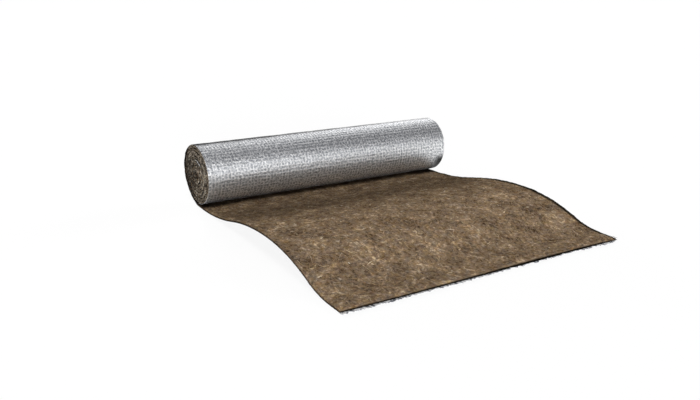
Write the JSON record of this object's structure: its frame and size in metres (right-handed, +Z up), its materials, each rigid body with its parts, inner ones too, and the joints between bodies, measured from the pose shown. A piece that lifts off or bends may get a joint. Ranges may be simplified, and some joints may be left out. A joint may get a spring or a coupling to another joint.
{
  "type": "insulation roll",
  "caption": "Partly unrolled mat of brown mineral wool with a reinforced aluminium foil facing, wound foil side out, for insulating roofs, walls and ducts.",
  "frame": {"origin": "on the floor, in the middle of the footprint of the roll and the mat that is rolled out", "axes": "+X along the roll, +Y from the loose end of the mat back to the roll, +Z up"},
  "size_m": [1.2, 1.2633, 0.259],
  "materials": {
    "wool": "fibrous mineral wool",
    "foil": "crinkled foil over a scrim of reinforcing threads"
  },
  "bodies": {
    "root": {"wool_mat": "wool", "foil_facing": "foil"}
  },
  "joints": []
}
